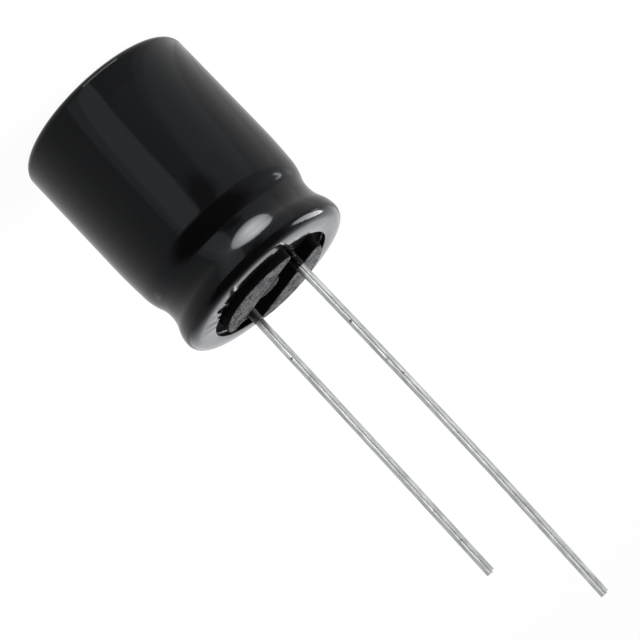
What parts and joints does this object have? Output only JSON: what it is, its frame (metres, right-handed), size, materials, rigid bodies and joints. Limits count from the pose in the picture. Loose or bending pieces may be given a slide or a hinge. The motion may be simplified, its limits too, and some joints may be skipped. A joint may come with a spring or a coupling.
{
  "type": "electrolytic capacitor",
  "caption": "Radial electrolytic capacitor: sleeved aluminium can with a beaded and curled rim, a rubber bung with two raised pads, and two tinned wire leads of unequal length.",
  "frame": {"origin": "on the can's axis, in the plane of the closed end that it stands on", "axes": "+Z along the axis from the closed end to the lead tips, +X from the short lead to the long lead, +Y towards the pad with the lobe"},
  "size_m": [0.013, 0.013, 0.0445],
  "materials": {
    "sleeve": "gloss",
    "can": "satin",
    "bung": "matte, finely grained",
    "element": "matte paper edges",
    "tape": "satin film",
    "tab": "dull",
    "lead": "tinned, satin"
  },
  "bodies": {
    "root": {"sleeve": "sleeve", "can": "can", "rubber_bung": "bung", "wound_element": "element", "element_tape": "tape", "positive_tab": "tab", "negative_tab": "tab", "long_lead_wire": "lead", "short_lead_wire": "lead"}
  },
  "joints": []
}
